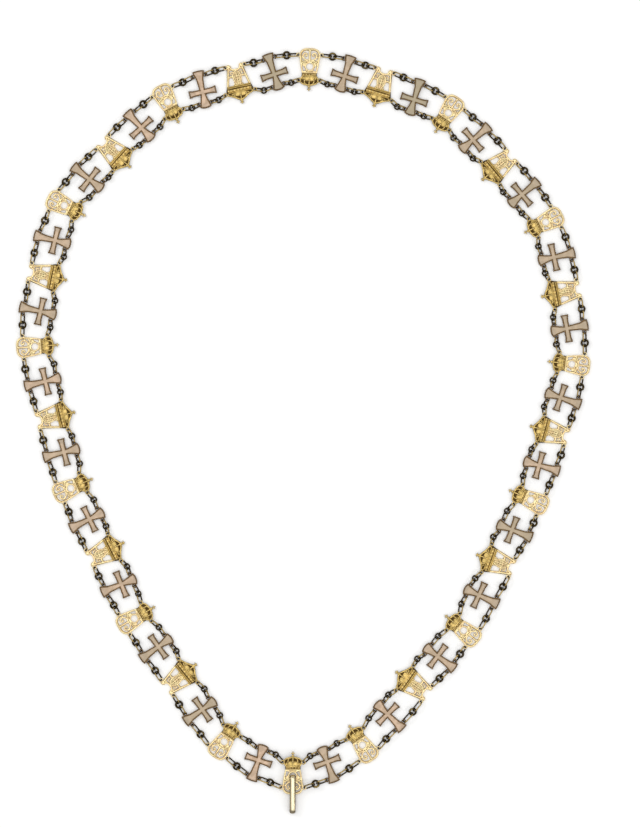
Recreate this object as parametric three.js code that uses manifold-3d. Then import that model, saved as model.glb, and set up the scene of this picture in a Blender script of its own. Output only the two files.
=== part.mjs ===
// Chivalric order collar, laid flat: a closed band of 52 cast plates joined by short chains.
// Enamelled crosses alternate with pierced gold plates, each of which carries a small crown
// that points at the middle of the collar. A loop for the badge hangs at the bottom plate.
// Millimetres, +Z up. In each plate's own frame +X runs clockwise along the band, +Y points
// away from the middle of the collar, and Y = 0 lies halfway between the two rows of chains.
import * as THREE from "three";
import { mergeVertices } from "three/addons/utils/BufferGeometryUtils.js";
import Module from "manifold-3d";

// The route: the place of every crowned plate, clockwise from the top of the collar.
const ROUTE = [
  [3, 217.5], [45.5, 208], [85.5, 190], [117, 159.5], [143.5, 125], [155.5, 83.5], [159, 40.5],
  [148.5, -0.5], [134.5, -40.5], [116, -78.5], [94.5, -118.5], [66, -152], [34, -187],
  [-7, -205],
  [-47.5, -185], [-75.5, -148], [-101, -111.5], [-120.5, -72.5], [-139, -33.5], [-151, 8.5],
  [-160.5, 51], [-156, 93.5], [-143, 135], [-114.5, 167.5], [-81.5, 196.5], [-40, 210.5],
];

// How far each plate lies turned from the band's own direction, in degrees, clockwise from the top.
const TURNS = [
  0, -4, 2, 6, 0, -4, -2, 1, 0, -2, 1, 5, -2,
  -3, 1, 3, -2, 5, 7, 2, -5, 5, 6, -5, -2, -6,
  1, 9, 5, 1, 3, 0, -1, -3, 0, 0, 3, -1, -1,
  -1, 1, -6, 0, 2, 3, 5, 3, 0, -2, -4, -2, 8,
];

const PLATE_THICKNESS = 1.8;
const CROWN_THICKNESS = 2.6;
const PIECE_GAP = 0.3;

// The cross plate.
const CROSS_CENTRE = -1.4;
const CROSS_OUTER_END = 11.3;
const CROSS_OUTER_BULGE = 0.4;
const CROSS_INNER_END = -10.4;
const CROSS_INNER_BULGE = 0.9;
const CROSS_SPAN = 16.6;
const CROSS_WAIST = 3.3;
const CROSS_NECK = 4.4;
const CROSS_FLARE_LENGTH = 4.8;
const CROSS_OUTER_WIDTH = 7.2;
const CROSS_INNER_WIDTH = 7;
const CROSS_SIDE_WIDTH = 4.7;

// The eyes at the sides of the cross's outer and inner ends.
const EYE_RADIUS = 1.4;
const EYE_SIDE = 3.8;
const EYE_OUTER = 8.6;
const EYE_INNER = -8.4;
const EYE_SIDES = 6;

// The right half of the egg-shaped plate, from its outer end to the crown's band.
const EGG_HALF = [
  [0, 12.4], [3.4, 12.1], [5.3, 10.9], [6.2, 8.4], [5.9, 5], [5.3, 1], [4.5, -3],
];
const EGG_OUTER_GAP = [
  [0.6, 10.9], [3, 10.8], [4.5, 9.7], [5, 7.9], [4.6, 5.4], [2.6, 4.5], [0.6, 4.6],
];
const EGG_INNER_GAP = [
  [3, 0.7], [4.3, 1.8], [3.6, -1.7], [1.6, -1.9], [2, -1.1],
];
const EGG_HOLE_RADIUS = 2.1;
const EGG_HOLE_HEIGHT = 1.3;
const EGG_HOLE_SIDES = 8;

// The right half of the crown on the egg-shaped plate, from its band to its finial.
const SMALL_CROWN_HALF = [
  [4.6, -2.3], [4.6, -4.2], [5.6, -6.9], [5, -8.6], [2.6, -9.8],
  [0.7, -10.2], [1.5, -11.8], [0.5, -13.5],
];

// The right half of the fan-shaped plate and of its crown.
const FAN_HALF = [
  [0, 7.2], [2, 7.5], [2.8, 9.7], [4.7, 10], [5.2, 7.4], [6.2, 2.4], [7.5, -3.8],
];
const FAN_UPPER_GAP = [
  [1.5, 6], [3.7, 6.6], [4.5, 3.3], [2.8, 3.3], [2.3, 4.6],
];
const FAN_LOWER_GAP = [
  [2.8, 2.2], [4.8, 2.2], [6, -2.6], [3.2, -2.7], [2.2, -0.6],
];
const WIDE_CROWN_HALF = [
  [7.4, -3.4], [8.2, -6], [8, -7.8], [5.8, -8.6], [3.6, -10.2],
  [0.8, -11.8], [1.5, -12.9], [0.4, -14.2],
];

// The short chains, each one drawn as a plain tube of its mean thickness.
const CHAIN_RADIUS = 1.3;
const CHAIN_SIDES = 8;
const EGG_CHAIN_STARTS = { outer: [5.4, 8.2], inner: [4.5, -6.9] };
const FAN_CHAIN_STARTS = { outer: [4, 8.8], inner: [7, -7.1] };

// The loop for the badge: a half-round band bent to a long oval that stands on its edge.
const BAIL_INNER_END = 0.7;
const BAIL_OUTER_END = 24;
const BAIL_WIDTH = 3;
const BAIL_THICKNESS = 1.3;
const BAIL_CLEARANCE = 0.35;
const BAIL_BEND_STEPS = 5;

const CREAM_GOLD = { color: 0xe3c87e, roughness: 0.3, metalness: 1 };
const ENAMEL = { color: 0xc9ae96, roughness: 0.35, metalness: 0.2 };
const BAIL_GOLD = { color: 0xd9b868, roughness: 0.25, metalness: 1 };

const wasm = await Module();
wasm.setup();

const PLATE_COUNT = 2 * ROUTE.length;
const BADGE_PLATE = PLATE_COUNT / 2;
const curve = new THREE.CatmullRomCurve3(
  ROUTE.map(([x, y]) => new THREE.Vector3(x, y, 0)), true, "catmullrom", 0.5,
);

function solid(geometry) {
  geometry.deleteAttribute("normal");
  geometry.deleteAttribute("uv");
  const merged = mergeVertices(geometry, 1e-4);
  return new wasm.Manifold(new wasm.Mesh({
    numProp: 3,
    vertProperties: merged.attributes.position.array,
    triVerts: new Uint32Array(merged.index.array),
  }));
}

function geometryOf(body) {
  const { vertProperties, triVerts } = body.getMesh();
  const shared = new THREE.BufferGeometry();
  shared.setAttribute("position", new THREE.BufferAttribute(vertProperties, 3));
  shared.setIndex(new THREE.BufferAttribute(triVerts, 1));
  const geometry = shared.toNonIndexed();
  geometry.computeVertexNormals();
  return geometry;
}

const mirrored = (points) => points.map(([x, y]) => [-x, y]).reverse();
const vectors = (points) => points.map(([x, y]) => new THREE.Vector2(x, y));

// A right half listed clockwise becomes a whole outline listed anticlockwise.
function wholeOutline(half) {
  return [...half, ...mirrored(half.filter(([x]) => x > 0))].reverse();
}

function polygon(radius, sides, x, y) {
  return Array.from({ length: sides }, (_, i) => {
    const angle = ((i + 0.5) * 2 * Math.PI) / sides;
    return [x + radius * Math.cos(angle), y + radius * Math.sin(angle)];
  });
}

function plate(outline, gaps, base, thickness) {
  const shape = new THREE.Shape(vectors(outline));
  shape.holes = gaps.map((gap) => new THREE.Path(vectors(gap)));
  const geometry = new THREE.ExtrudeGeometry(shape, { depth: thickness, bevelEnabled: false });
  return solid(geometry.translate(0, 0, base));
}

// Where a plate lies: its frame in the collar, from its place on the route and its own turn.
function placeOf(index) {
  const share = index / PLATE_COUNT;
  const tangent = curve.getTangent(share);
  const frame = new THREE.Object3D();
  frame.position.copy(curve.getPoint(share));
  const turn = THREE.MathUtils.degToRad(TURNS[index % TURNS.length]);
  frame.rotation.z = Math.atan2(tangent.y, tangent.x) + turn;
  frame.updateMatrixWorld();
  return frame;
}

function crossOutline() {
  const waist = CROSS_WAIST / 2;
  const neck = CROSS_NECK / 2;
  return wholeOutline([
    [0, CROSS_OUTER_END + CROSS_OUTER_BULGE],
    [CROSS_OUTER_WIDTH / 2, CROSS_OUTER_END],
    [neck, CROSS_OUTER_END - CROSS_FLARE_LENGTH],
    [waist, CROSS_CENTRE + waist],
    [CROSS_SPAN / 2, CROSS_CENTRE + CROSS_SIDE_WIDTH / 2],
    [CROSS_SPAN / 2, CROSS_CENTRE - CROSS_SIDE_WIDTH / 2],
    [waist, CROSS_CENTRE - waist],
    [neck, CROSS_INNER_END + CROSS_FLARE_LENGTH],
    [CROSS_INNER_WIDTH / 2, CROSS_INNER_END],
    [0, CROSS_INNER_END - CROSS_INNER_BULGE],
  ]);
}

function crossPlate() {
  let body = plate(crossOutline(), [], 0, PLATE_THICKNESS);
  for (const side of [-1, 1]) {
    for (const height of [EYE_OUTER, EYE_INNER]) {
      const eye = polygon(EYE_RADIUS, EYE_SIDES, side * EYE_SIDE, height);
      body = body.add(plate(eye, [], 0, PLATE_THICKNESS));
    }
  }
  return body;
}

function eggPlate(base) {
  const hole = polygon(EGG_HOLE_RADIUS, EGG_HOLE_SIDES, 0, EGG_HOLE_HEIGHT);
  const gaps = [hole, EGG_OUTER_GAP, mirrored(EGG_OUTER_GAP), EGG_INNER_GAP, mirrored(EGG_INNER_GAP)];
  return plate(wholeOutline(EGG_HALF), gaps, base, PLATE_THICKNESS)
    .add(plate(wholeOutline(SMALL_CROWN_HALF), [], base, CROWN_THICKNESS));
}

function fanPlate() {
  const gaps = [
    FAN_UPPER_GAP, mirrored(FAN_UPPER_GAP), FAN_LOWER_GAP, mirrored(FAN_LOWER_GAP),
  ];
  return plate(wholeOutline(FAN_HALF), gaps, 0, PLATE_THICKNESS)
    .add(plate(wholeOutline(WIDE_CROWN_HALF), [], 0, CROWN_THICKNESS));
}

// One short chain, from a crowned plate to the nearest eye of the cross beside it.
function chain(frame, neighbour, start, side, eyeHeight) {
  const eye = new THREE.Vector3(-side * EYE_SIDE, eyeHeight, 0);
  frame.worldToLocal(neighbour.localToWorld(eye));
  const from = new THREE.Vector3(side * start[0], start[1], CHAIN_RADIUS);
  const to = eye.setZ(CHAIN_RADIUS);
  const length = from.distanceTo(to) - EYE_RADIUS - PIECE_GAP;
  to.sub(from).setLength(length).add(from);
  const section = new THREE.Shape(vectors(polygon(CHAIN_RADIUS, CHAIN_SIDES, 0, 0)));
  return solid(new THREE.ExtrudeGeometry(section, {
    steps: 1,
    extrudePath: new THREE.LineCurve3(from, to),
  }));
}

function withChains(body, index, starts) {
  const frame = placeOf(index);
  for (const side of [-1, 1]) {
    const neighbour = placeOf((index + side + PLATE_COUNT) % PLATE_COUNT);
    body = body.add(chain(frame, neighbour, starts.outer, side, EYE_OUTER));
    body = body.add(chain(frame, neighbour, starts.inner, side, EYE_INNER));
  }
  return body;
}

// The loop's middle line runs over the front of the plate, round, and back beneath it.
function bail(base) {
  const low = BAIL_THICKNESS / 2;
  const high = base + PLATE_THICKNESS + BAIL_CLEARANCE + BAIL_THICKNESS / 2;
  const radius = (high - low) / 2;
  const outer = BAIL_OUTER_END - low - radius;
  const inner = BAIL_INNER_END + low + radius;
  const outline = (grow) => {
    const loop = new THREE.Shape();
    loop.absarc(outer, low + radius, radius + grow, -Math.PI / 2, Math.PI / 2, false);
    loop.absarc(inner, low + radius, radius + grow, Math.PI / 2, (3 * Math.PI) / 2, false);
    return loop;
  };
  const loop = outline(low);
  loop.holes = [outline(-low)];
  const geometry = new THREE.ExtrudeGeometry(loop, {
    depth: BAIL_WIDTH,
    bevelEnabled: false,
    curveSegments: BAIL_BEND_STEPS,
  });
  geometry.translate(0, 0, -BAIL_WIDTH / 2);
  return solid(geometry.rotateX(Math.PI / 2).rotateZ(Math.PI / 2));
}

function piece(name, body, frame, look) {
  const mesh = new THREE.Mesh(geometryOf(body), new THREE.MeshStandardMaterial(look));
  mesh.name = name;
  mesh.position.copy(frame.position);
  mesh.rotation.copy(frame.rotation);
  return mesh;
}

const collar = new THREE.Group();
collar.name = "order_collar";
const badgeLift = BAIL_THICKNESS + BAIL_CLEARANCE;
const numbered = (name, index) => name + "_" + String(1 + Math.floor(index / 2)).padStart(2, "0");

for (let index = 0; index < PLATE_COUNT; index += 1) {
  const frame = placeOf(index);
  if (index % 2 === 1) {
    collar.add(piece(numbered("cross_link", index), crossPlate(), frame, ENAMEL));
    continue;
  }
  const egg = index % 4 === 0 || index === BADGE_PLATE;
  const lift = index === BADGE_PLATE ? badgeLift : 0;
  const openwork = egg ? eggPlate(lift) : fanPlate();
  const body = withChains(openwork, index, egg ? EGG_CHAIN_STARTS : FAN_CHAIN_STARTS);
  collar.add(piece(numbered("crown_link", index), body, frame, CREAM_GOLD));
}
collar.add(piece("pendant_bail", bail(badgeLift), placeOf(BADGE_PLATE), BAIL_GOLD));

const box = new THREE.Box3().setFromObject(collar, true);
const middle = box.getCenter(new THREE.Vector3());
collar.position.set(-middle.x, -middle.y, -box.min.z);

export default collar;
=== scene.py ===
import math
import random

import bmesh
import bpy
from mathutils import Matrix, Vector


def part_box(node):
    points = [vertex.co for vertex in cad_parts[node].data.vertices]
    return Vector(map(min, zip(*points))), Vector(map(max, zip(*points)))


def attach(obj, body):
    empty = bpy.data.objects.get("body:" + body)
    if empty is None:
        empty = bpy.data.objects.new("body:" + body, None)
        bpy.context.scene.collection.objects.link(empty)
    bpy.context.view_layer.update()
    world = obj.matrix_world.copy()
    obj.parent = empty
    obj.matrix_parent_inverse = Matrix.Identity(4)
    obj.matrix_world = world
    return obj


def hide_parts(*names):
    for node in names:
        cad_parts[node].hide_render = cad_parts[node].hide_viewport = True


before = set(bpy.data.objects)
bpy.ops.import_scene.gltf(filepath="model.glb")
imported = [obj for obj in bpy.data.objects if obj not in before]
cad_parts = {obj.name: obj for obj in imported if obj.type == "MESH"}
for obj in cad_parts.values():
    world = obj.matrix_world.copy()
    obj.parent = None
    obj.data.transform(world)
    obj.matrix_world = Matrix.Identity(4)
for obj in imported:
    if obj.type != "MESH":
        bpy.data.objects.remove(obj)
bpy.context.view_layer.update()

# The camera.
# It looks straight down at the collar, which lies on the floor, from so far up that the plates at
# the edge of the picture are still seen from above.
mm = 0.001
picture_height = 496.8 * mm
camera_height = 1800 * mm
camera_aim = (10.02 * mm, 10.06 * mm)

camera = bpy.data.objects.new("camera", bpy.data.cameras.new("camera"))
camera.data.lens = camera.data.sensor_width * camera_height / picture_height
camera.location = (*camera_aim, camera_height)
bpy.context.scene.collection.objects.link(camera)
bpy.context.scene.camera = camera

# The studio.
# A white table under one broad soft lamp straight above it, with a weaker one from each side, so
# that flat gold shines pale and the sloping edges turn dark.
table_size = 6.0
table_colour = (0.97, 0.97, 0.97, 1)
table_roughness = 0.8
room_light = (1, 0.995, 0.985, 1)
room_brightness = 0.64
lamp_rows = [
    # name, place and width in metres, power in watts
    ("overhead", (0.0, 0.0, 2.2), 2.6, 21),
    ("left", (-1.6, 0.9, 1.5), 0.8, 7),
    ("right", (1.5, -0.9, 1.5), 0.6, 4),
]

table = bpy.data.objects.new("table_top", bpy.data.meshes.new("table_top"))
half_table = table_size / 2
corners = [(-half_table, -half_table, 0), (half_table, -half_table, 0),
           (half_table, half_table, 0), (-half_table, half_table, 0)]
table.data.from_pydata(corners, [], [(0, 1, 2, 3)])
bpy.context.scene.collection.objects.link(table)
table_paint = bpy.data.materials.new("table_paint")
table_paint.use_nodes = True
table_shader = table_paint.node_tree.nodes["Principled BSDF"]
table_shader.inputs["Base Color"].default_value = table_colour
table_shader.inputs["Roughness"].default_value = table_roughness
table.data.materials.append(table_paint)

for name, place, width, power in lamp_rows:
    lamp = bpy.data.objects.new(name, bpy.data.lights.new(name, "AREA"))
    lamp.data.shape = "DISK"
    lamp.data.size = width
    lamp.data.energy = power
    lamp.location = place
    lamp.rotation_euler = (-Vector(place)).to_track_quat("-Z", "Y").to_euler()
    bpy.context.scene.collection.objects.link(lamp)

world = bpy.data.worlds.new("studio")
world.use_nodes = True
world.node_tree.nodes["Background"].inputs["Color"].default_value = room_light
world.node_tree.nodes["Background"].inputs["Strength"].default_value = room_brightness
bpy.context.scene.world = world
bpy.context.scene.view_settings.view_transform = "Standard"

# The places of the plates.
# The collar is a closed band of 52 plates. Every second one, a crowned plate, lies on a point of
# the route, and a cross lies halfway to the next; each lies turned a little, as chained plates do.
route = [
    (3, 217.5), (45.5, 208), (85.5, 190), (117, 159.5), (143.5, 125), (155.5, 83.5), (159, 40.5),
    (148.5, -0.5), (134.5, -40.5), (116, -78.5), (94.5, -118.5), (66, -152), (34, -187),
    (-7, -205),
    (-47.5, -185), (-75.5, -148), (-101, -111.5), (-120.5, -72.5), (-139, -33.5), (-151, 8.5),
    (-160.5, 51), (-156, 93.5), (-143, 135), (-114.5, 167.5), (-81.5, 196.5), (-40, 210.5),
]
turns = [
    0, -4, 2, 6, 0, -4, -2, 1, 0, -2, 1, 5, -2,
    -3, 1, 3, -2, 5, 7, 2, -5, 5, 6, -5, -2, -6,
    1, 9, 5, 1, 3, 0, -1, -3, 0, 0, 3, -1, -1,
    -1, 1, -6, 0, 2, 3, 5, 3, 0, -2, -4, -2, 8,
]
plate_count = 2 * len(route)
badge_plate = plate_count // 2
badge_lift = 1.65
bail_middle = 12.35


def route_place(index):
    """The frame of a plate on the route: +X clockwise along the band, +Y outwards, in mm."""
    step, half = divmod(index, 2)
    before, start, end, after = (Vector(route[(step + k) % len(route)]) for k in (-1, 0, 1, 2))
    leave, arrive = (end - before) / 2, (after - start) / 2
    place, heading = start, leave
    if half:
        place = (start + end) / 2 + (leave - arrive) / 8
        heading = (end - start) * 1.5 - (leave + arrive) / 4
    angle = math.atan2(heading.y, heading.x) + math.radians(turns[index % len(turns)])
    lift = badge_lift if index == badge_plate else 0
    return Matrix.Translation((*place, lift)) @ Matrix.Rotation(angle, 4, "Z")


bail_low, bail_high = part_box("pendant_bail")
bail_centre = route_place(badge_plate) @ Vector((0, bail_middle, 0))
to_frame = Matrix.Translation(((bail_low + bail_high) / 2 / mm - bail_centre) * Vector((1, 1, 0)))
places = [to_frame @ route_place(index) for index in range(plate_count)]
crosses = range(1, plate_count, 2)
scroll_plates = sorted({*range(0, plate_count, 4), badge_plate})
fan_plates = sorted(set(range(0, plate_count, 2)) - set(scroll_plates))


def node_name(index):
    """The name of the solid that a plate stands for."""
    kind = "cross_link" if index % 2 else "crown_link"
    return f"{kind}_{index // 2 + 1:02d}"


# The crosses.
# Each is a cast gold tray with a low rim round it and a ring eye soldered at each side of its
# outer and inner ends, where the chains hook in. Its arms flare to square ends.
cross_centre = -1.4
cross_outer_end = 11.3
cross_outer_bulge = 0.4
cross_inner_end = -10.4
cross_inner_bulge = 0.9
cross_span = 16.6
cross_waist = 3.3
cross_neck = 4.4
cross_flare = 4.8
cross_outer_width = 7.2
cross_inner_width = 7.0
cross_side_width = 4.7
cross_side_neck = 3.6
cross_side_flare = 2.4
bulge_share = 0.8
cross_floor = 1.0
cross_top = 1.8
rim_width = 0.56
rim_foot = 0.2
rim_edge = 0.1
eye_side = 3.8
cross_eye_heights = (8.6, -8.4)
eye_radius = 1.4
eye_wire = 0.32
eye_height = 1.55
cast_edge = 0.16
curve_steps = 4
wire_sides = 6
shade_spread = 1.0
corner = True


def mirrored(points):
    """The left-hand copy of a row of points, in the order that closes an outline."""
    return [(-x, *rest) for x, *rest in reversed(points) if x > 0]


def cast_plate(outline, gaps, low, high, edge, rounds=1):
    """A flat plate with rounded edges between two heights. A point (x, y, corner) is sharp."""
    curve = bpy.data.curves.new("plate", "CURVE")
    curve.dimensions = "2D"
    curve.fill_mode = "BOTH"
    curve.extrude = (high - low) / 2 - edge
    curve.bevel_depth = edge
    curve.bevel_resolution = rounds
    curve.offset = -edge
    curve.resolution_u = curve_steps
    for points in (outline, *gaps):
        spline = curve.splines.new("BEZIER")
        spline.bezier_points.add(len(points) - 1)
        spline.use_cyclic_u = True
        for knot, (x, y, *sharp) in zip(spline.bezier_points, points):
            knot.co = (x, y, 0)
            knot.handle_left_type = knot.handle_right_type = "VECTOR" if sharp else "AUTO"
    mesh = mesh_of(bpy.data.objects.new("plate", curve))
    mesh.transform(Matrix.Translation((0, 0, (low + high) / 2)))
    return mesh


def mesh_of(thing):
    """The plain mesh of a curve or of an object with modifiers, as they show."""
    bpy.context.scene.collection.objects.link(thing)
    depsgraph = bpy.context.evaluated_depsgraph_get()
    mesh = bpy.data.meshes.new_from_object(thing.evaluated_get(depsgraph))
    bpy.data.objects.remove(thing)
    return mesh


def rib(points, radius, height, squash=1.0):
    """A round rib along points (x, y) or (x, y, share of the radius), its middle at a height."""
    curve = bpy.data.curves.new("rib", "CURVE")
    curve.dimensions = "3D"
    curve.bevel_depth = radius
    curve.bevel_resolution = 1
    curve.resolution_u = curve_steps
    curve.use_fill_caps = True
    spline = curve.splines.new("BEZIER")
    spline.bezier_points.add(len(points) - 1)
    for knot, (x, y, *share) in zip(spline.bezier_points, points):
        knot.co = (x, y, 0)
        knot.radius = share[0] if share else 1
        knot.handle_left_type = knot.handle_right_type = "AUTO"
    mesh = mesh_of(bpy.data.objects.new("rib", curve))
    mesh.transform(Matrix.Translation((0, 0, height)) @ Matrix.Diagonal((1, 1, squash, 1)))
    return mesh


def arc(x, y, radius, start, end, count):
    """Points along an arc, its angles in degrees."""
    angles = [math.radians(start + (end - start) * k / (count - 1)) for k in range(count)]
    return [(x + radius * math.cos(a), y + radius * math.sin(a)) for a in angles]


def hoop(rounds):
    """An endless tube through rows of points, each row one round of its wire."""
    shell = bmesh.new()
    rows = [[shell.verts.new(spot) for spot in row] for row in rounds]
    for near, far in zip(rows, rows[1:] + rows[:1]):
        for j in range(len(near)):
            after = (j + 1) % len(near)
            shell.faces.new([near[j], far[j], far[after], near[after]])
    mesh = bpy.data.meshes.new("hoop")
    shell.to_mesh(mesh)
    return mesh


def ring(x, y, height, radius, wire, sides=16):
    """A round ring that lies flat, its radius to the middle of its wire."""
    rounds = []
    for i in range(sides):
        turn = 2 * math.pi * i / sides
        row = []
        for j in range(wire_sides):
            roll = 2 * math.pi * j / wire_sides
            reach = radius + wire * math.cos(roll)
            spot = (reach * math.cos(turn), reach * math.sin(turn), wire * math.sin(roll))
            row.append(Vector(spot) + Vector((x, y, height)))
        rounds.append(row)
    return hoop(rounds)


def bead(x, y, height, radius, squash=1.0, stretch=1.0):
    """A round grain of metal, or a dome where it is squashed and stretched sideways."""
    shell = bmesh.new()
    bmesh.ops.create_icosphere(shell, subdivisions=2 if radius < 1.2 else 3, radius=radius)
    mesh = bpy.data.meshes.new("bead")
    shell.to_mesh(mesh)
    mesh.transform(Matrix.Translation((x, y, height)) @ Matrix.Diagonal((stretch, 1, squash, 1)))
    return mesh


def closed(shells):
    """The same shells with their caps joined to their walls and every face turned outwards."""
    for shell in shells:
        part = bmesh.new()
        part.from_mesh(shell)
        bmesh.ops.remove_doubles(part, verts=part.verts, dist=0.002)
        bmesh.ops.recalc_face_normals(part, faces=part.faces)
        part.to_mesh(shell)
    return shells


def joined(shells):
    """Closed shells as one mesh, each still a body of its own."""
    whole = bmesh.new()
    for shell in closed(shells):
        whole.from_mesh(shell)
        bpy.data.meshes.remove(shell)
    mesh = bpy.data.meshes.new("joined")
    whole.to_mesh(mesh)
    return mesh


def soldered(shells):
    """One body from shells that overlap, its corners kept crisp."""
    body, *others = [bpy.data.objects.new("shell", shell) for shell in closed(shells)]
    for other in others:
        joint = body.modifiers.new("joint", "BOOLEAN")
        joint.operation = "UNION"
        joint.solver = "MANIFOLD"
        joint.object = other
    mesh = mesh_of(body)
    for other in others:
        bpy.data.objects.remove(other)
    return mesh


def cast(shells, grain, face_count):
    """One body from shells that overlap, its corners filled and rounded a little, as in a mould."""
    body = bpy.data.objects.new("cast", joined(shells))
    skin = body.modifiers.new("skin", "REMESH")
    skin.mode = "VOXEL"
    skin.voxel_size = grain
    soften = body.modifiers.new("soften", "SMOOTH")
    soften.iterations = 2
    dense = mesh_of(body)
    dense.calc_loop_triangles()
    body = bpy.data.objects.new("cast", dense)
    thin = body.modifiers.new("thin", "DECIMATE")
    thin.ratio = min(1, face_count / len(dense.loop_triangles))
    return mesh_of(body)


def pattern(name, mesh, sharpest=180):
    """One model in mm. Its points keep their own place and how deep in a corner they lie; edges
    that bend by more than the sharpest angle, in degrees, stay crisp."""
    for polygon in mesh.polygons:
        polygon.use_smooth = True
    mesh.set_sharp_from_angle(angle=math.radians(sharpest))
    spots = mesh.attributes.new("spot", "FLOAT_VECTOR", "POINT")
    for spot, vertex in zip(spots.data, mesh.vertices):
        spot.vector = vertex.co
    surface = bmesh.new()
    surface.from_mesh(mesh)
    depths = []
    for vertex in surface.verts:
        ways = [(edge.other_vert(vertex).co - vertex.co).normalized() for edge in vertex.link_edges]
        depths.append(sum(way.dot(vertex.normal) for way in ways) / len(ways))
    near = [[edge.other_vert(vertex).index for edge in vertex.link_edges] for vertex in surface.verts]
    depths = [(depth + sum(depths[k] for k in ring_of) / len(ring_of)) / 2
              for depth, ring_of in zip(depths, near)]
    mesh.attributes.new("crease", "FLOAT", "POINT").data.foreach_set("value", depths)
    return bpy.data.objects.new(name, mesh)


def inset(points, amount):
    """An outline, listed clockwise, with each side moved inwards by the same amount."""
    moved = []
    for before, here, after in zip(points[-1:] + points[:-1], points, points[1:] + points[:1]):
        here = Vector(here[:2])
        come, go = (here - Vector(before[:2])).normalized(), (Vector(after[:2]) - here).normalized()
        inward = Vector((come.y, -come.x)) + Vector((go.y, -go.x))
        moved.append((*(here + inward * amount * 2 / inward.length_squared), corner))
    return moved


def lay_out(pattern_object, name, indexes, material, seed):
    """Copies of a pattern at the places of plates, each with a shade of its own, as one mesh."""
    tree = bpy.data.node_groups.new(name, "GeometryNodeTree")
    tree.interface.new_socket("Geometry", in_out="OUTPUT", socket_type="NodeSocketGeometry")
    sockets = {
        label: tree.interface.new_socket(label, in_out="INPUT", socket_type=kind)
        for label, kind in (("Geometry", "NodeSocketGeometry"), ("Pattern", "NodeSocketObject"),
                            ("Material", "NodeSocketMaterial"), ("Spread", "NodeSocketFloat"),
                            ("Seed", "NodeSocketInt"))
    }

    def add(kind, settings=(), inputs=()):
        node = tree.nodes.new("GeometryNode" + kind)
        for key, value in dict(settings).items():
            setattr(node, key, value)
        for key, value in dict(inputs).items():
            if isinstance(value, bpy.types.NodeSocket):
                tree.links.new(value, node.inputs[key])
            else:
                node.inputs[key].default_value = value
        return node

    entry = tree.nodes.new("NodeGroupInput").outputs
    turn = add("InputNamedAttribute", {"data_type": "FLOAT_VECTOR"}, {"Name": "turn"})
    source = add("ObjectInfo", (), {"Object": entry["Pattern"]})
    copies = add("InstanceOnPoints", (), {
        "Points": entry["Geometry"],
        "Instance": source.outputs["Geometry"],
        "Rotation": turn.outputs["Attribute"],
        "Scale": (mm, mm, mm),
    })
    chance = tree.nodes.new("FunctionNodeRandomValue")
    chance.data_type = "FLOAT"
    tree.links.new(entry["Spread"], chance.inputs[3])
    tree.links.new(entry["Seed"], chance.inputs["Seed"])
    shaded = add("StoreNamedAttribute", {"data_type": "FLOAT", "domain": "INSTANCE"}, {
        "Geometry": copies.outputs["Instances"],
        "Name": "shade",
        "Value": chance.outputs[1],
    })
    real = add("RealizeInstances", (), {"Geometry": shaded.outputs["Geometry"]})
    dressed = add("SetMaterial", (), {"Geometry": real.outputs["Geometry"],
                                      "Material": entry["Material"]})
    tree.links.new(dressed.outputs["Geometry"], tree.nodes.new("NodeGroupOutput").inputs[0])

    spots = bpy.data.meshes.new(name)
    spots.from_pydata([places[index].translation * mm for index in indexes], [], [])
    headings = spots.attributes.new("turn", "FLOAT_VECTOR", "POINT")
    for heading, index in zip(headings.data, indexes):
        heading.vector = places[index].to_euler()
    bpy.context.scene.collection.objects.link(pattern_object)
    holder = bpy.data.objects.new(name, spots)
    layout = holder.modifiers.new("layout", "NODES")
    layout.node_group = tree
    layout[sockets["Pattern"].identifier] = pattern_object
    layout[sockets["Material"].identifier] = material
    layout[sockets["Spread"].identifier] = shade_spread
    layout[sockets["Seed"].identifier] = seed
    piece = bpy.data.objects.new(name, mesh_of(holder))
    bpy.context.scene.collection.objects.link(piece)
    bpy.data.objects.remove(pattern_object)
    return piece


class Value:
    """A number that changes over a surface. Python's operators add Math nodes to its recipe."""

    def __init__(self, recipe, socket):
        self.recipe = recipe
        self.socket = socket

    def combined(self, operation, other):
        return self.recipe.node("ShaderNodeMath", {"operation": operation}, {0: self, 1: other})

    def __add__(self, other):
        return self.combined("ADD", other)

    __radd__ = __add__

    def __mul__(self, other):
        return self.combined("MULTIPLY", other)

    __rmul__ = __mul__

    def rise(self, low, high):
        """0 below low and 1 above high, with a soft change between."""
        return self.recipe.node("ShaderNodeMapRange", {"interpolation_type": "SMOOTHSTEP"},
                                {"Value": self, "From Min": low, "From Max": high})


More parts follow.
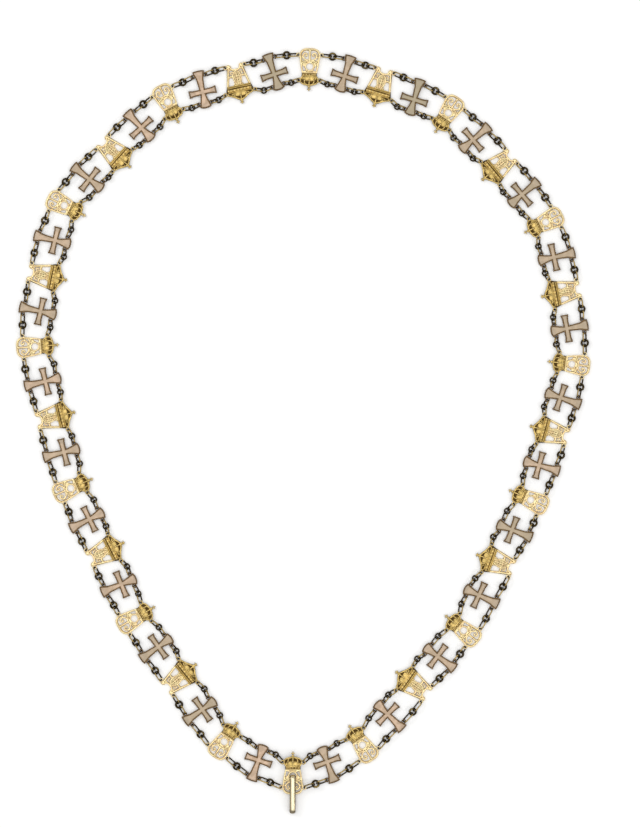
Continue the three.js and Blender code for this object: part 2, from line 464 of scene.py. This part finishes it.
class Recipe:
    """A finish being mixed: a material and the nodes that feed its shader."""

    def __init__(self, name, **constants):
        self.material = bpy.data.materials.new(name)
        self.material.use_nodes = True
        self.tree = self.material.node_tree
        self.shader = self.tree.nodes["Principled BSDF"]
        for label, value in constants.items():
            self.shader.inputs[label.replace("_", " ")].default_value = value

    def node(self, kind, settings=(), inputs=(), output=0):
        node = self.tree.nodes.new(kind)
        for key, value in dict(settings).items():
            setattr(node, key, value)
        for key, value in dict(inputs).items():
            if isinstance(value, Value):
                self.tree.links.new(value.socket, node.inputs[key])
            else:
                node.inputs[key].default_value = value
        return Value(self, node.outputs[output])

    def noise(self, scale):
        """A cloudy pattern fixed to the object, its scale in patches to the metre."""
        spot = self.node("ShaderNodeTexCoord", output=3)
        return self.node("ShaderNodeTexNoise", (), {"Vector": spot, "Scale": scale, "Detail": 3.0})

    def attribute(self, name):
        return self.node("ShaderNodeAttribute", {"attribute_name": name}, output=2)

    def spot(self, axis):
        """Where a point lies on its own plate, in mm: 0, 1 or 2 for across, outwards or up."""
        place = self.node("ShaderNodeAttribute", {"attribute_name": "spot"}, output=1)
        return self.node("ShaderNodeSeparateXYZ", (), {0: place}, output=axis)

    def mix(self, factor, first, second):
        return self.node("ShaderNodeMix", {"data_type": "RGBA"}, {0: factor, 6: first, 7: second},
                         output=2)

    def feed(self, **sockets):
        for label, value in sockets.items():
            self.tree.links.new(value.socket, self.shader.inputs[label.replace("_", " ")])

    def bump(self, height, strength, distance):
        normal = self.node("ShaderNodeBump", (), {"Height": height, "Strength": strength,
                                                  "Distance": distance})
        self.feed(Normal=normal)


waist, neck = cross_waist / 2, cross_neck / 2
cross_half = [
    (0, cross_outer_end + cross_outer_bulge, corner),
    (cross_outer_width / 4, cross_outer_end + bulge_share * cross_outer_bulge, corner),
    (cross_outer_width / 2, cross_outer_end, corner),
    (neck, cross_outer_end - cross_flare, corner),
    (waist, cross_centre + waist, corner),
    (cross_span / 2 - cross_side_flare, cross_centre + cross_side_neck / 2, corner),
    (cross_span / 2, cross_centre + cross_side_width / 2, corner),
    (cross_span / 2, cross_centre - cross_side_width / 2, corner),
    (cross_span / 2 - cross_side_flare, cross_centre - cross_side_neck / 2, corner),
    (waist, cross_centre - waist, corner),
    (neck, cross_inner_end + cross_flare, corner),
    (cross_inner_width / 2, cross_inner_end, corner),
    (cross_inner_width / 4, cross_inner_end - bulge_share * cross_inner_bulge, corner),
    (0, cross_inner_end - cross_inner_bulge, corner),
]
cross_outline = cross_half + mirrored(cross_half)
cross_shells = [
    cast_plate(cross_outline, [], 0, cross_floor, cast_edge),
    cast_plate(cross_outline, [inset(cross_outline, rim_width)], rim_foot, cross_top, rim_edge),
]
for side in (-1, 1):
    for height in cross_eye_heights:
        cross_shells.append(ring(side * eye_side, height, eye_height, eye_radius - eye_wire, eye_wire))

rim_gold = Recipe("rim_gold", Metallic=1.0)
rim_wear = rim_gold.noise(1800)
rim_gold.feed(
    Base_Color=rim_gold.mix(
        rim_wear.rise(0.3, 0.75), (0.075, 0.045, 0.022, 1), (0.19, 0.12, 0.055, 1)),
    Roughness=0.3 + 0.25 * rim_gold.noise(2500),
)
rim_gold.bump(rim_gold.noise(4000), 0.3, 0.00005)
crisp = 35
cross_frames = lay_out(pattern("cross_frame", soldered(cross_shells), crisp), "cross_frames",
                       crosses, rim_gold.material, seed=3)
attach(cross_frames, "root")
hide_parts(*[node_name(index) for index in crosses])

# The enamel of the crosses.
# Pinkish white glass fused into each tray, a little domed, so that it stands just below the rim;
# it is cloudy, and greyer towards the ends of the arms.
enamel_low = 0.9
enamel_top = 1.72
enamel_dome = 0.75
enamel_wall = 0.01
enamel_gap = 0.02

enamel_outline = inset(cross_outline, rim_width + enamel_gap)
enamel_body = cast_plate(enamel_outline, [], -enamel_dome, enamel_dome, enamel_dome - enamel_wall,
                         rounds=3)
squash = (enamel_top - enamel_low) / (2 * enamel_dome)
enamel_body.transform(Matrix.Diagonal((1, 1, squash, 1)))
enamel_body.transform(Matrix.Translation((0, 0, (enamel_top + enamel_low) / 2)))
enamel = Recipe("cross_enamel", Coat_Weight=0.8, Coat_Roughness=0.08, Roughness=0.3)
cloud = enamel.noise(350)
pale = enamel.mix(cloud.rise(0.35, 0.7), (0.44, 0.285, 0.165, 1), (0.66, 0.445, 0.29, 1))
pale = enamel.mix(0.85 * enamel.attribute("shade"), pale, (0.3, 0.245, 0.13, 1))
across, along = enamel.spot(0), enamel.spot(1)
side_ends = (across * across).rise(12, 70)
far_ends = (along * along).rise(40, 130)
enamel.feed(Base_Color=enamel.mix(0.45 * side_ends + 0.3 * far_ends, pale, (0.25, 0.215, 0.165, 1)))
enamel.bump(enamel.noise(1500), 0.15, 0.00005)
cross_enamels = lay_out(pattern("enamel", joined([enamel_body]), crisp), "cross_enamels",
                        crosses, enamel.material, seed=5)
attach(cross_enamels, "root")

# The scroll plates.
# Each is cast in pale gold: an egg-shaped openwork of a ring between two pairs of scrolls, and at
# its inner end a small closed crown in higher relief, in deeper gold, its hollows darkened with painted
# shade and patina.
egg_half = [
    (0, 12.4), (3.4, 12.1), (5.3, 10.9), (6.2, 8.4), (5.9, 5), (5.3, 1), (4.5, -3, corner),
]
egg_outer_gap = [(0.6, 10.9, corner), (3, 10.8), (4.5, 9.7), (5, 7.9), (4.6, 5.4), (2.6, 4.5),
                 (0.6, 4.6, corner)]
egg_inner_gap = [(3, 0.7), (4.3, 1.8), (3.6, -1.7), (1.6, -1.9), (2, -1.1)]
hole_middle = 1.3
hole_radius = 2.1
hole_ring_radius = 2.5
egg_hole = arc(0, hole_middle, hole_radius, 0, 315, 8)
plate_face = 1.25
scroll_shells = [
    cast_plate(egg_half + mirrored(egg_half),
               [egg_hole, egg_outer_gap, mirrored(egg_outer_gap),
                egg_inner_gap, mirrored(egg_inner_gap)],
               0, plate_face, cast_edge),
]


def both_sides(make, points, *sizes):
    """A shell along points and its mirror image."""
    left = [(-x, *rest) for x, *rest in points]
    return [make(points, *sizes), make(left, *sizes)]


scroll_shells += both_sides(rib, [
    (0, 11.8, 0.8), (3.2, 11.5), (4.9, 10.4), (5.65, 8.3), (5.4, 5), (5, 2), (4.5, -0.6), (4.15, -2.4),
], 0.48, plate_face)
scroll_shells += both_sides(rib, [
    (0.4, 5.2, 1), (2.3, 5.2), (3.8, 6.6), (3.9, 8.3), (2.7, 9.3), (1.7, 8.6), (1.9, 7.6, 0.9),
], 0.5, plate_face - 0.1)
scroll_shells += both_sides(rib, [
    (0, 4), (1.9, 4.4), (3.7, 4), (4.8, 2.9), (4.3, 2.2, 0.8),
], 0.45, plate_face)
scroll_shells += both_sides(rib, [(1.7, -1.1, 0.8), (2.8, -1.7), (4.1, -1.9)], 0.42, plate_face)
for side in (-1, 1):
    for x, y, size in ((2.3, 7.7, 0.7), (4.5, 6.9, 0.55), (3.6, 2.9, 0.5)):
        scroll_shells.append(bead(side * x, y, plate_face - 0.1, size, 0.8))
scroll_shells.append(ring(0, hole_middle, plate_face, hole_ring_radius, 0.45, sides=24))
scroll_shells.append(rib([(0, 4.4, 0.7), (0, 5.6), (0, 8.6, 0.9), (0, 10.9, 0.8)], 0.55, plate_face))
scroll_shells.append(bead(0, 10.9, plate_face + 0.1, 0.85, 0.7))
scroll_shells.append(rib([(-4.3, -2.1), (4.3, -2.1)], 0.32, plate_face))

crown_back = 1.1
crown_relief = 1.5
pearl_height = 1.8
band_edge = 0.27
band_bead = 0.42
arch_radius = 0.5
orb_radius = 0.95
small_crown_half = [
    (0, -2.3, corner), (4.6, -2.4, corner), (4.6, -4.2), (5.6, -6.9), (5, -8.6), (2.6, -9.8),
    (0.7, -10.2),
]
scroll_shells.append(
    cast_plate(small_crown_half + mirrored(small_crown_half), [], 0, crown_back, cast_edge))


def crown_shells(band, arches, cap, pearls, finial):
    """The relief of a crown: its band, its arches, the cap beneath them, pearls, orb and cross."""
    width, top, middle, foot, count = band
    core = (top - foot) / 2 - 0.25
    shells = [rib([(-width, middle), (width, middle)], core, crown_back, squash=0.62)]
    for y in (top, foot):
        shells.append(rib([(-width, y), (0, y + 0.12), (width, y)], band_edge, crown_relief))
    for k in range(count):
        x = (2 * k + 1 - count) * width / count
        shells.append(bead(x, middle, pearl_height - 0.05, band_bead))
    for points in arches:
        make = both_sides if points[0][0] else lambda shape, *sizes: [shape(*sizes)]
        shells += make(rib, points, arch_radius, crown_relief)
    height, breadth, cap_middle = cap
    shells.append(bead(0, cap_middle, crown_back - 0.15, height, 0.42, breadth / height))
    for side in (-1, 1):
        for x, y, size in pearls:
            shells.append(bead(side * x, y, pearl_height, size))
    orb, tip = finial
    shells.append(bead(0, orb, crown_back, orb_radius))
    shells.append(rib([(0, orb - 0.5, 0.8), (0, tip, 1)], 0.36, crown_back))
    bar = (orb + tip) / 2 - 0.2
    shells.append(rib([(-1.2, bar), (1.2, bar)], 0.34, crown_back))
    return shells


scroll_shells += crown_shells(
    (4.2, -2.7, -3.5, -4.3, 5),
    [
        [(4.2, -4.6), (5.1, -6.6), (4.9, -8.2), (3.4, -9.2), (1.4, -9.8)],
        [(2.1, -4.6), (2.9, -7), (2.5, -8.8), (0.6, -9.9)],
        [(0, -4.6), (0, -7.2, 1.2), (0, -10)],
    ],
    (2.1, 4.8, -5.7),
    [(5.2, -6.9, 0.5), (4.7, -8.5, 0.5), (2.9, -7.2, 0.5), (2.4, -9.2, 0.5), (0, -7.2, 0.6)],
    (-10.7, -13.4))
egg_eyes = {"outer": (6.9, 8.2), "inner": (6.3, -6.9)}
for x, y in egg_eyes.values():
    for side in (-1, 1):
        scroll_shells.append(ring(side * x, y, eye_height, eye_radius - eye_wire, eye_wire))

plate_gold = Recipe("plate_gold", Metallic=1.0)
crown_part = plate_gold.spot(1).rise(-2.2, -2.9)
crease = plate_gold.attribute("crease")
# Painted shade with some patina: the gold is darkened where it lies deepest in a corner.
crease_shade_and_patina = crease.rise(0.0, 0.2)
# Painted highlight: the crown's rounded tops are lightened.
crown_painted_highlight = crease.rise(-0.08, -0.3)
patch = plate_gold.noise(450).rise(0.35, 0.65)
# Painted shadow: the crown's low back plate, seen between its arches, is turned nearly black.
painted_recess_shadow = plate_gold.spot(2).rise(1.42, 1.12)
pale_gold = plate_gold.mix(patch, (0.79, 0.66, 0.36, 1), (0.72, 0.54, 0.29, 1))
pale_gold = plate_gold.mix(crease_shade_and_patina, pale_gold, (0.11, 0.075, 0.03, 1))
deep_gold = plate_gold.mix(patch, (0.6, 0.43, 0.15, 1), (0.44, 0.32, 0.11, 1))
deep_gold = plate_gold.mix(crown_painted_highlight, deep_gold, (0.82, 0.64, 0.32, 1))
deep_gold = plate_gold.mix(crease_shade_and_patina, deep_gold, (0.12, 0.07, 0.02, 1))
deep_gold = plate_gold.mix(painted_recess_shadow, deep_gold, (0.06, 0.035, 0.01, 1))
plate_gold.feed(
    Base_Color=plate_gold.mix(crown_part, pale_gold, deep_gold),
    Roughness=0.2 + 0.25 * plate_gold.noise(900),
)
plate_gold.bump(plate_gold.noise(3000), 0.2, 0.00005)
cast_grain = 0.11
scroll_faces = 13600
scroll_pieces = lay_out(pattern("scroll_plate", cast(scroll_shells, cast_grain, scroll_faces)),
                        "scroll_plates", scroll_plates, plate_gold.material, seed=11)
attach(scroll_pieces, "root")
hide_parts(*[node_name(index) for index in scroll_plates])

# The fan plates.
# Each widens from its outer end, which has a knob at each corner, to the band of a broad crown. A
# veined leaf stands between two bars, and the crown's arches stand low above its wide band.
fan_half = [
    (0, 7.2), (2, 7.5), (2.8, 9.7), (4.7, 10), (5.2, 7.4), (6.2, 2.4), (7.5, -3.8, corner),
]
fan_upper_gap = [(1.5, 6), (3.7, 6.6, corner), (4.5, 3.3, corner), (2.8, 3.3, corner), (2.3, 4.6)]
fan_lower_gap = [(2.8, 2.2, corner), (4.8, 2.2, corner), (6, -2.6, corner), (3.2, -2.7, corner),
                 (2.2, -0.6)]
fan_shells = [
    cast_plate(fan_half + mirrored(fan_half),
               [fan_upper_gap, mirrored(fan_upper_gap), fan_lower_gap, mirrored(fan_lower_gap)],
               0, plate_face, cast_edge),
]
fan_shells += both_sides(rib, [(3.7, 9.4, 0.9), (4.4, 7), (5.5, 2), (6.7, -3)], 0.55, plate_face)
fan_shells += both_sides(rib, [(0, 6.2, 0.7), (1.8, 4.6), (2.4, 2.6), (2, 0), (1.1, -1.7, 0.8)], 0.45,
                         plate_face)
fan_shells += both_sides(rib, [(0, 6.6), (1.9, 6.8), (2.9, 7.9), (3.5, 9.4)], 0.52, plate_face)
fan_shells += both_sides(rib, [(2.5, 2.7), (3.7, 3, 1.3), (4.9, 2.7)], 0.42, plate_face)
fan_shells += both_sides(rib, [(1.8, 5.3, 0.9), (2.9, 5.4), (3.4, 4.6), (2.9, 3.8, 0.9)], 0.4, plate_face)
fan_shells.append(rib([(0, -1.4, 1.2), (0, 2), (0, 5.6, 0.6)], 0.42, plate_face))
for y in (-0.5, 1.1, 2.7):
    fan_shells += both_sides(rib, [(0, y, 1.1), (0.9, y + 0.4), (1.7, y + 1.3, 0.6)], 0.3, plate_face)
for x, y in arc(0, -3.4, 2.7, 20, 160, 5):
    fan_shells.append(rib([(x * 0.3, -3, 0.5), (x, y, 1.1)], 0.5, plate_face))
fan_shells.append(rib([(-6.8, -2.95), (6.8, -2.95)], 0.34, plate_face))
for side in (-1, 1):
    for x, y, size in ((3.75, 9.3, 0.85), (3.7, 2.9, 0.65), (1.4, 6.7, 0.6)):
        fan_shells.append(bead(side * x, y, plate_face - 0.1, size, 0.8))
wide_crown_half = [
    (0, -3.2, corner), (7.4, -3.3, corner), (8.2, -6), (8, -7.8), (5.8, -8.6), (3.6, -10.2),
    (0.8, -11.8),
]
fan_shells.append(
    cast_plate(wide_crown_half + mirrored(wide_crown_half), [], 0, crown_back, cast_edge))
fan_shells += crown_shells(
    (7.2, -4, -5.3, -6.6, 7),
    [
        [(7, -6.9), (7.5, -7.7), (6.2, -8.4), (4.2, -9.3), (2.2, -10.6)],
        [(3.1, -7.2), (3.8, -8.7), (2.7, -10.2), (0.5, -11.4)],
        [(0, -7.2), (0, -9.1, 1.2), (0, -11.5)],
    ],
    (1.7, 6, -7.9),
    [(7.4, -7.6, 0.55), (5.7, -8.6, 0.45), (3.7, -8.7, 0.55), (1.7, -10.7, 0.45), (0, -9.1, 0.6)],
    (-12.1, -14.1))
fan_eyes = {"outer": (5.75, 8.8), "inner": (9.05, -7.3)}
for x, y in fan_eyes.values():
    for side in (-1, 1):
        fan_shells.append(ring(side * x, y, eye_height, eye_radius - eye_wire, eye_wire))
fan_faces = 15800
fan_pieces = lay_out(pattern("fan_plate", cast(fan_shells, cast_grain, fan_faces)), "fan_plates",
                     fan_plates, plate_gold.material, seed=17)
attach(fan_pieces, "root")
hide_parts(*[node_name(index) for index in fan_plates])

# The short chains.
# Two join each plate to the next, an outer and an inner one. In each, two oval links on edge go
# through the plates' eyes and through the big round ring that lies nearly flat between them.
chain_rows = [
    # name, which eye of a crowned plate, eye of a cross, ring radius, ring wire, sag inwards
    ("outer_chains", "outer", cross_eye_heights[0], 1.95, 0.64, 0.0),
    ("inner_chains", "inner", cross_eye_heights[1], 1.65, 0.5, 0.9),
]
link_wire = 0.42
link_breadth = 3.7
link_play = 0.2
chain_height = eye_height
link_lean = (38, 43)  # degrees from upright
ring_lean = (8, 20)  # degrees from flat
ring_sway = 0.4
raised_reach = (10.5, 19.0)  # how far from the bottom plate the chains start to come down, and end


def outward_ways(path):
    """For each point of a closed path that runs anticlockwise, the direction that leads out of it."""
    ways = []
    for before, after in zip(path[-1:] + path[:-1], path[1:] + path[:1]):
        along = (Vector(after) - Vector(before)).normalized()
        ways.append(Vector((along.y, -along.x)))
    return ways


def oval_link(length, breadth, wire, end_sides=6):
    """An oval link of round wire that stands on edge along X."""
    radius = breadth / 2 - wire
    straight = max(length / 2 - wire - radius, 0)
    path = []
    for centre, start in ((straight, -90), (-straight, 90)):
        path += [(centre + x, z) for x, z in arc(0, 0, radius, start, start + 180, end_sides + 1)]
    rounds = []
    for (x, z), outward in zip(path, outward_ways(path)):
        row = []
        for j in range(wire_sides):
            roll = 2 * math.pi * j / wire_sides
            side = Vector((outward.x, 0, outward.y)) * math.cos(roll) + Vector((0, math.sin(roll), 0))
            row.append(Vector((x, 0, z)) + side * wire)
        rounds.append(row)
    return hoop(rounds)


chain_gold = Recipe("chain_gold", Metallic=1.0)
# Painted highlight with wear on the upper strands of the wires, painted shade with tarnish on the lower
# ones.
lit_and_worn_top = (chain_gold.spot(2) + 0.9 * chain_gold.noise(1100)).rise(1.3, 2.15)
chain_gold.feed(
    Base_Color=chain_gold.mix(lit_and_worn_top, (0.036, 0.024, 0.009, 1), (0.5, 0.36, 0.13, 1)),
    Roughness=0.3 + 0.3 * chain_gold.noise(2200),
)
chain_gold.bump(chain_gold.noise(5000), 0.3, 0.00004)
chance = random.Random(6)

for name, which, cross_eye, ring_radius, ring_wire, sag in chain_rows:
    shells = []
    for index in range(0, plate_count, 2):
        eyes = egg_eyes if index in scroll_plates else fan_eyes
        for side in (-1, 1):
            neighbour = places[(index + side) % plate_count]
            start = places[index] @ Vector((side * eyes[which][0], eyes[which][1], chain_height))
            end = neighbour @ Vector((-side * eye_side, cross_eye, chain_height))
            across = Vector((start.y - end.y, end.x - start.x, 0)).normalized()
            way = chance.choice((-1, 1))
            lean = math.radians(way * chance.uniform(*ring_lean))
            inwards = places[index].to_3x3() @ Vector((0, -sag, 0))
            middle = (start + end) / 2 + inwards + across * chance.uniform(-ring_sway, ring_sway)
            turn = (end - start).to_track_quat("X", "Z").to_matrix().to_4x4()
            big_ring = ring(0, 0, 0, ring_radius, ring_wire)
            big_ring.transform(Matrix.Translation(middle) @ turn @ Matrix.Rotation(lean, 4, "X"))
            shells.append(big_ring)
            inside = ring_radius - ring_wire - link_wire - link_play
            for eye, toward in ((start, way), (end, -way)):
                reach = middle - eye
                hook = eye + reach * (1 - inside / reach.length)
                turn = reach.to_track_quat("X", "Z").to_matrix().to_4x4()
                lean = math.radians(toward * chance.uniform(*link_lean))
                link = oval_link((hook - eye).length + 2 * link_wire, link_breadth, link_wire)
                place = Matrix.Translation((hook + eye) / 2)
                link.transform(place @ turn @ Matrix.Rotation(lean, 4, "X"))
                shells.append(link)
    chain = pattern(name, joined(shells))
    # The height that the painted highlight and the wear of the gold follow is counted from the chain's
    # own middle.
    badge = places[badge_plate].translation
    for spot in chain.data.attributes["spot"].data:
        reach = (Vector(spot.vector[:2]) - badge.xy).length
        share = min(max((raised_reach[1] - reach) / (raised_reach[1] - raised_reach[0]), 0), 1)
        spot.vector.z -= chain_height + badge_lift * share
    chain.data.transform(Matrix.Scale(mm, 4))
    chain.data.materials.append(chain_gold.material)
    bpy.context.scene.collection.objects.link(chain)
    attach(chain, "root")
    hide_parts(*[node_name(index) for index in range(0, plate_count, 2)])

# The bail for the badge.
# A band of polished gold, round on its outer face, bent to a long oval: it goes through the ring
# of the bottom plate and round its rim, and lies on its edge with the badge's end outwards.
plate_top = 1.8
bail_inner_end = 0.7
bail_outer_end = 24.0
bail_width = 3.5
bail_thickness = 1.3
bail_clearance = 0.35
bail_section = [
    # across, outwards, as shares of the width and of the thickness
    (-0.5, -0.32), (-0.49, -0.05), (-0.41, 0.2), (-0.26, 0.4), (-0.09, 0.5),
    (0.09, 0.5), (0.26, 0.4), (0.41, 0.2), (0.49, -0.05), (0.5, -0.32), (0.4, -0.5), (-0.4, -0.5),
]

bail_top = badge_lift + plate_top + bail_clearance + bail_thickness
bail_radius = (bail_top - bail_thickness) / 2
outer_centre = bail_outer_end - bail_thickness / 2 - bail_radius
inner_centre = bail_inner_end + bail_thickness / 2 + bail_radius
bail_path = arc(outer_centre, bail_top / 2, bail_radius, -90, 90, 13)
bail_path += arc(inner_centre, bail_top / 2, bail_radius, 90, 270, 13)
bail_rounds = []
for (y, z), outward in zip(bail_path, outward_ways(bail_path)):
    row = []
    for across, up in bail_section:
        reach = outward * up * bail_thickness
        row.append(Vector((across * bail_width, y + reach.x, z + reach.y)))
    bail_rounds.append(row)

bail_gold = Recipe("bail_gold", Metallic=1.0)
across = bail_gold.spot(0)
# Painted shade: the sides of the band, where its round face turns away, are darkened.
edge = (across * across).rise(0.35, 2.4)
# Painted shade: the band's outer bend is darkened.
painted_end_shade = bail_gold.spot(1).rise(20.5, 23.2)
polished = bail_gold.mix(bail_gold.noise(600), (0.7, 0.6, 0.38, 1), (0.78, 0.7, 0.5, 1))
polished = bail_gold.mix(edge * 0.85, polished, (0.17, 0.12, 0.06, 1))
bail_gold.feed(
    Base_Color=bail_gold.mix(painted_end_shade * 0.8, polished, (0.1, 0.075, 0.045, 1)),
    Roughness=0.15 + 0.2 * bail_gold.noise(1200),
)
bail_gold.bump(bail_gold.noise(2500), 0.15, 0.00004)
bail = pattern("pendant_bail_band", joined([hoop(bail_rounds)]), 40)
bail.data.transform(to_frame @ Matrix.Translation((0, 0, -badge_lift)) @ route_place(badge_plate))
bail.data.transform(Matrix.Scale(mm, 4))
bail.data.materials.append(bail_gold.material)
bpy.context.scene.collection.objects.link(bail)
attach(bail, "root")
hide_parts("pendant_bail")
